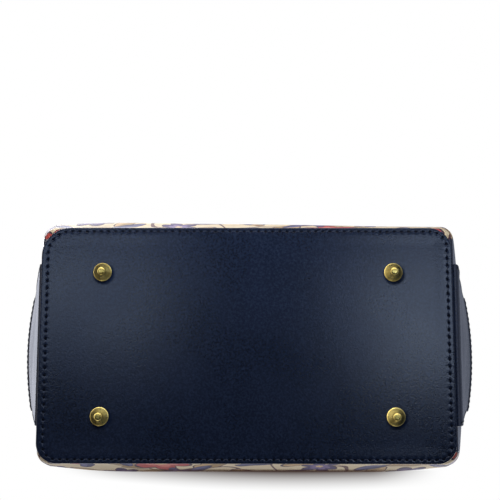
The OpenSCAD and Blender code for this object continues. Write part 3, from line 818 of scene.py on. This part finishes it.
def set_out(points, side_x, front):
    """Moves points from a bar at the origin to a tab of the front, or mirrored to the back."""
    moved = np.array(points) + (side_x * HANDLE_X, -BAR_Y, TAB_BAR_Z)
    return moved if front else moved * (1, -1, 1)


end_angles = np.radians(np.linspace(88, 0, 10))
end_zs = [TAB_END_Z - TAB_END_R * math.sin(q) for q in end_angles[:-1]]
end_widths = [STRAP_W * math.cos(q) for q in end_angles[:-1]]
half_turn = np.radians(np.linspace(0, 180, 25))
tab_run = smooth_path([(INNER_PLY_Y, TAB_END_Z), (INNER_PLY_Y, INNER_PLY_Z)]
                      + arc(0.0, 0.0, LOOP_MID_R, half_turn)
                      + [(OUTER_PLY_Y, OUTER_PLY_Z), (OUTER_PLY_Y, TAB_END_Z)])
tab_path = np.concatenate([[(INNER_PLY_Y, z) for z in end_zs], tab_run,
                           [(OUTER_PLY_Y, z) for z in end_zs[::-1]]])
tab_widths = end_widths + [STRAP_W] * len(tab_run) + end_widths[::-1]
tab_points, tab_faces, tab_kinds = strap_mesh(tab_path, tab_widths, STRAP_T)
leg = [(-TAB_SEAM_X, z) for z in np.linspace(TAB_SEAM_Z, TAB_END_Z, 20)]
bend = arc(0.0, TAB_END_Z, TAB_SEAM_X, np.radians(np.linspace(180, 360, 40)))
tab_row = [(x, TAB_SEAM_Y, z) for x, z in leg + bend + [(-x, z) for x, z in leg[::-1]]]
for corner, side_x, front in CORNERS:
    turned_faces = [f[::-1] for f in tab_faces] if front else tab_faces
    tab = new_piece(corner + "_strap", set_out(tab_points, side_x, front), turned_faces, "bag",
                    [navy_calf, edge_paint], tab_kinds)
    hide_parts(corner + "_tab")
    sew(corner + "_tab_thread", set_out(tab_row, side_x, front),
        [(0, -1 if front else 1, 0)] * len(tab_row), "bag", pitch=TAB_STITCH, thread_w=0.8)
finish_node("tab_rivets", antique_brass)

# Rings
# Four rectangular rings bent from round brass wire and brazed shut. Each hangs with its lower bar in
# a tab and holds a handle on its upper bar.
for corner, _, _ in CORNERS:
    finish_node(corner + "_ring", antique_brass)

# Handles and their rivets
# Two strips of navy leather rolled round a cord core and sewn along the inside of the arch. Their
# flat ends are folded round the upper bars of the rings, sewn and riveted.
HANDLE_BAR_Z = 226.25
HANDLE_D = 12.0
HANDLE_GAP = 0.4
HANDLE_DROP = 150.0
HANDLE_LEAN = math.asin((BAR_Y - HANDLE_D / 2 - HANDLE_GAP) / HANDLE_DROP)
ARCH_Z = HANDLE_DROP - HANDLE_X
# Heights over the bar: the flat end starts, the flat end ends, the rolled part is round
FLAT_FROM, FLAT_TO, ROLLED_FROM = 11.0, 32.0, 52.0
GRIP_SIDES = 28
LOOP_PLY_Y, LOOP_PLY_Z, LOOP_END_Z = 0.9, 11.5, 16.0
WELT = ((-1.5, -0.4), (-1.2, 0.7), (-0.4, 1.1), (0.4, 1.1), (1.2, 0.7), (1.5, -0.4))
GRIP_STITCH, GRIP_SEAM_Y, GRIP_SEAM_OUT = 4.5, -1.5, 0.5
END_SEAM_X, END_SEAM_LOW, END_SEAM_HIGH = 8.4, 13.0, 30.0
END_ROW_X, END_ROW_Z = 7.5, 31.0

leg_zs = [*np.linspace(FLAT_FROM, FLAT_TO, 12), *np.linspace(FLAT_TO + 1.5, ROLLED_FROM, 12),
          *np.linspace(ROLLED_FROM + 4, ARCH_Z - 3, 8)]
stations = [(-HANDLE_X, z, 0.0, 1.0) for z in leg_zs]
stations += [(HANDLE_X * math.cos(q), ARCH_Z + HANDLE_X * math.sin(q), math.sin(q), -math.cos(q))
             for q in np.radians(np.linspace(180, 0, 72))]
stations += [(HANDLE_X, z, 0.0, -1.0) for z in leg_zs[::-1]]
grip_points, seam_line, seam_out = [], [], []
for x, z, ahead_x, ahead_z in stations:
    flat = 1 - ease_between(FLAT_TO, ROLLED_FROM, z)
    wide, deep = mix(HANDLE_D / 2, STRAP_W / 2, flat), mix(HANDLE_D / 2, STRAP_T, flat)
    power = 2 / mix(2.0, 7.0, flat)
    inside = np.array((ahead_z, 0.0, -ahead_x))
    centre = np.array((x, 0.0, z))
    for q in turns(GRIP_SIDES):
        u = math.copysign(abs(math.cos(q)) ** power, math.cos(q)) * wide
        v = math.copysign(abs(math.sin(q)) ** power, math.sin(q)) * deep
        grip_points.append(centre + inside * u + np.array((0, v, 0)))
    if flat == 0.0:
        seam_line.append(centre + inside * wide)
        seam_out.append(inside)
rings = number_rows(0, len(grip_points), len(stations))
grip_faces = join_rows(rings[::-1], closed=True) + [rings[0], rings[-1][::-1]]
loop_path = smooth_path([(LOOP_PLY_Y, LOOP_END_Z), (LOOP_PLY_Y, LOOP_PLY_Z)]
                        + arc(0.0, 0.0, LOOP_MID_R, -half_turn)
                        + [(-LOOP_PLY_Y, LOOP_PLY_Z), (-LOOP_PLY_Y, LOOP_END_Z)], step=0.9)
loop_points, loop_faces, loop_kinds = strap_mesh(loop_path, [STRAP_W] * len(loop_path), STRAP_T)
welt_points = [p + n * h + np.array((0, u, 0)) for p, n in zip(seam_line, seam_out) for u, h in WELT]
rows = number_rows(0, len(welt_points), len(seam_line))
welt_faces = join_rows(rows) + [rows[0][::-1], rows[-1]]
handle_parts = (
    (grip_points, grip_faces, [0] * len(grip_faces), 0.0),
    (loop_points, loop_faces, loop_kinds, -HANDLE_X),
    (loop_points, loop_faces, loop_kinds, HANDLE_X),
    (welt_points, welt_faces, [1] * len(welt_faces), 0.0),
)
handle_points, handle_faces, handle_kinds = [], [], []
for part_points, part_faces, part_kinds, x in handle_parts:
    first = len(handle_points)
    handle_points += list(np.array(part_points) + (x, 0.0, 0.0))
    handle_faces += [tuple(first + i for i in f) for f in part_faces]
    handle_kinds += part_kinds


def lean_in(points, front):
    """Leans points of a handle, or directions, in over the mouth, mirrored for the back."""
    c, s = math.cos(HANDLE_LEAN), math.sin(HANDLE_LEAN)
    leant = np.array([(x, y * c + z * s, z * c - y * s) for x, y, z in points])
    return leant if front else leant * (1, -1, 1)


def set_up(points, front):
    """Moves a handle from its own bars to the bars of the rings."""
    return lean_in(points, front) + (0.0, -BAR_Y if front else BAR_Y, HANDLE_BAR_Z)


grip_row = [p + n * GRIP_SEAM_OUT + np.array((0, GRIP_SEAM_Y, 0)) for p, n in zip(seam_line, seam_out)]
end_leg = [(-END_SEAM_X, z) for z in np.linspace(END_SEAM_LOW, END_SEAM_HIGH, 14)]
end_row = end_leg + [(x, END_ROW_Z) for x in np.linspace(-END_ROW_X, END_ROW_X, 12)]
end_row += [(-x, z) for x, z in end_leg[::-1]]
for name, front in (("front", True), ("back", False)):
    turned_faces = handle_faces if front else [f[::-1] for f in handle_faces]
    grip = new_piece(name + "_rolled_handle", set_up(handle_points, front), turned_faces, name + "_grip",
                     [navy_calf, edge_paint], handle_kinds)
    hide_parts(name + "_handle")
    sew(name + "_grip_thread", set_up(grip_row, front), lean_in([(0, -1, 0)] * len(grip_row), front),
        name + "_grip", pitch=GRIP_STITCH, thread_w=0.8)
    for side, side_x in (("left", -HANDLE_X), ("right", HANDLE_X)):
        row = [(side_x + x, -STRAP_T, z) for x, z in end_row]
        sew(f"{name}_{side}_end_thread", set_up(row, front), lean_in([(0, -1, 0)] * len(row), front),
            name + "_grip", pitch=TAB_STITCH, thread_w=0.8)
    finish_node(name + "_handle_rivets", antique_brass)

# Floor, light and camera
# A pale floor that only the eye from above sees, so the base is lit and seen from below as in the
# photograph; white surroundings that are dark behind the camera; soft lamps above and below.
FLOOR_HALF = 8.0
SHADOW_HALF_W, SHADOW_NEAR, SHADOW_FAR, SHADOW_Z = 0.15, 0.08, 0.15, -0.0005


def new_stage(name, corners, made):
    """A flat sheet that isn't part of the bag. It is drawn for the eye alone and takes no light away."""
    mesh = bpy.data.meshes.new(name)
    mesh.from_pydata(corners, [], [(0, 1, 2, 3)])
    mesh.materials.append(made)
    sheet = bpy.data.objects.new(name, mesh)
    bpy.context.scene.collection.objects.link(sheet)
    for ray in ("shadow", "diffuse", "glossy", "transmission"):
        setattr(sheet, "visible_" + ray, False)


# White card: matt and bare. Only its upper side shows, and a step away from the bag it fades into the
# white room.
pale, tree, shader, place = new_material("pale_floor")
wire(tree, shader, {"Base Color": linear("#eeeeee"), "Roughness": 0.9, "Specular IOR Level": 0.0})
lower_side = add(tree, "NewGeometry", []).outputs["Backfacing"]
away = calc_vector(tree, "LENGTH", place)
fade = ramp(tree, away, 0.35, 1.6, soft=True)
white = add(tree, "Emission", {"Color": (1, 1, 1, 1)})
faded = add(tree, "MixShader", [fade, shader, white])
clear = add(tree, "BsdfTransparent", [])
shown = add(tree, "MixShader", [lower_side, faded, clear])
wire(tree, tree.nodes["Material Output"], {"Surface": shown})
new_stage("floor", [(-FLOOR_HALF, -FLOOR_HALF, 0), (FLOOR_HALF, -FLOOR_HALF, 0),
                    (FLOOR_HALF, FLOOR_HALF, 0), (-FLOOR_HALF, FLOOR_HALF, 0)], pale)

# The shadow of a bag that lies on its back: a clear sheet below the floor, seen only from below, that is
# dark along the back panel. Its far edge is bowed, furthest right of the middle, and its ends fade out.
table_shadow, tree, shader, place = new_material("shadow_on_white_card")
tree.nodes.remove(shader)
upper_side = add(tree, "NewGeometry", []).outputs["Backfacing"]
right, back, _ = add(tree, "SeparateXYZ", [place]).outputs
off_middle = calc(tree, "MULTIPLY_ADD", right, 0.656, -0.0197)
bowed = calc(tree, "MULTIPLY_ADD", off_middle, off_middle, back)
falling = ramp(tree, bowed, 0.0853, 0.0985, 0.97, 0.0)
soft_edge = calc(tree, "POWER", falling, 1.35)
aside = calc(tree, "ABSOLUTE", right)
ending = ramp(tree, aside, 0.08, 0.134, 1.0, 0.0, soft=True)
behind = ramp(tree, back, 0.0833, 0.0848)
dim = calc(tree, "MULTIPLY", soft_edge, ending)
dim = calc(tree, "MULTIPLY", dim, behind)
clear = add(tree, "BsdfTransparent", [])
dark = add(tree, "Emission", {"Color": linear("#351c10")})
shade = add(tree, "MixShader", [dim, clear, dark])
shown = add(tree, "MixShader", [upper_side, shade, clear])
wire(tree, tree.nodes["Material Output"], {"Surface": shown})
new_stage("shadow", [(-SHADOW_HALF_W, SHADOW_NEAR, SHADOW_Z), (-SHADOW_HALF_W, SHADOW_FAR, SHADOW_Z),
                     (SHADOW_HALF_W, SHADOW_FAR, SHADOW_Z), (SHADOW_HALF_W, SHADOW_NEAR, SHADOW_Z)],
          table_shadow)

# White room: plain white to the eye. In reflections its lower end, behind the camera, is dark. Its walls
# are bright to the left, dim to the right and far left, and below the floor they are lit from the front.
world = bpy.data.worlds.new("white_room")
bpy.context.scene.world = world
world.use_nodes = True
tree = world.node_tree
path = add(tree, "LightPath", [])
heading = add(tree, "TexCoord", []).outputs["Generated"]
right, back, up = add(tree, "SeparateXYZ", [heading]).outputs
dark_end = ramp(tree, up, -0.5, -0.1, 0.02, 1.0, soft=True)
ceiling = ramp(tree, up, 0.2, 0.75, 1.0, 0.45, soft=True)
across = ramp(tree, right, -0.6, 0.6, 2.5, 0.25, soft=True)
far_left = ramp(tree, right, -0.52, -0.34, 0.1, 1.0, soft=True)
high_wall = calc(tree, "MULTIPLY", across, far_left)
to_front = calc_vector(tree, "DOT_PRODUCT", heading, (-0.35, -0.94, 0.0))
low_wall = ramp(tree, to_front, -0.5, 0.9, 0.45, 3.9)
below = ramp(tree, up, -0.14, 0.02, 1.0, 0.0)
wall = add(tree, "Mix", {0: below, 2: high_wall, 3: low_wall}, data_type="FLOAT")
room = calc(tree, "MULTIPLY", dark_end, ceiling)
room = calc(tree, "MULTIPLY", room, wall)
# For soft light the room is brighter above and behind
soft = ramp(tree, up, -0.6, 0.3, 0.03, 0.6)
bounce = ramp(tree, back, -1.0, 1.0, 0.85, 1.35)
soft = calc(tree, "MULTIPLY", soft, bounce)
mirrored = calc(tree, "MAXIMUM", path.outputs["Is Glossy Ray"], path.outputs["Is Transmission Ray"])
level = add(tree, "Mix", {0: mirrored, 2: soft, 3: room}, data_type="FLOAT")
bluer = ramp(tree, right, -0.6, 0.6)
tinted = blend(tree, bluer, (0.97, 0.98, 1.08, 1), (0.84, 0.95, 1.25, 1))
hue = blend(tree, mirrored, (1, 1, 1, 1), tinted)
whole = add(tree, "Mix", {0: path.outputs["Is Camera Ray"], 2: level, 3: 1.0}, data_type="FLOAT")
wire(tree, tree.nodes["Background"], {"Color": hue, "Strength": whole})

# Lamps: place and aim in metres, roll in degrees, width and height in metres, power in watts, colour, and
# whether they show in reflections
WHITE, DAYLIGHT = (1.0, 1.0, 1.0), (0.78, 0.95, 1.26)
lamps = (
    ("lamp_above", (-0.7, -0.9, 1.5), (0.0, 0.0, 0.15), 0, 1.0, 1.0, 22.0, WHITE, True),
    ("lamp_behind", (0.9, 0.8, 1.2), (0.0, 0.0, 0.15), 0, 1.0, 1.0, 10.0, WHITE, True),
    ("softbox_left", (-0.42, -0.165, -1.0), (-0.42, -0.165, 0.0), -9, 0.54, 0.2, 0.54, DAYLIGHT, True),
    ("softbox_right", (0.45, -0.12, -1.0), (0.45, -0.12, 0.0), 10, 0.52, 0.23, 0.94, DAYLIGHT, True),
    ("softbox_top", (0.0, -0.72, -0.66), (0.0, 0.0, 0.0), 0, 0.9, 0.36, 2.4, WHITE, True),
    ("lamp_near", (-0.02, -0.17, -0.15), (-0.02, -0.17, 0.0), 0, 0.26, 0.05, 0.36, WHITE, False),
)
for name, spot, aim, roll, wide, high, power, colour, mirrors in lamps:
    lamp = bpy.data.lights.new(name, "AREA")
    lamp.shape = "RECTANGLE"
    lamp.size = wide
    lamp.size_y = high
    lamp.energy = power
    lamp.color = colour
    holder = bpy.data.objects.new(name, lamp)
    holder.location = spot
    holder.rotation_euler = (Vector(aim) - Vector(spot)).to_track_quat("-Z", "Y").to_euler()
    holder.rotation_euler.rotate_axis("Z", math.radians(roll))
    holder.visible_camera = False
    holder.visible_glossy = mirrors
    bpy.context.scene.collection.objects.link(holder)

# The camera looks up at the base from below, a little from behind, with the front towards the top
CAMERA_SPOT = Vector((4.86, 29.88, -656.21)) * 0.001
PITCH, YAW, ROLL = math.radians(8.149), math.radians(-0.288), math.radians(0.05)
FOCAL_PIXELS, PICTURE_PIXELS, SENSOR_W = 961.1, 500, 36.0
ahead = Vector((math.sin(YAW), -math.sin(PITCH) * math.cos(YAW), math.cos(PITCH) * math.cos(YAW)))
right = (Vector((1, 0, 0)) - ahead * ahead.x).normalized()
up = right.cross(ahead)
right, up = right * math.cos(ROLL) + up * math.sin(ROLL), up * math.cos(ROLL) - right * math.sin(ROLL)
view = bpy.data.cameras.new("camera")
view.sensor_width = SENSOR_W
view.lens = SENSOR_W * FOCAL_PIXELS / PICTURE_PIXELS
view.clip_start, view.clip_end = 0.01, 50.0
camera = bpy.data.objects.new("camera", view)
camera.matrix_world = Matrix.Translation(CAMERA_SPOT) @ Matrix((right, up, -ahead)).transposed().to_4x4()
bpy.context.scene.collection.objects.link(camera)
bpy.context.scene.camera = camera
bpy.context.scene.view_settings.view_transform = "Standard"
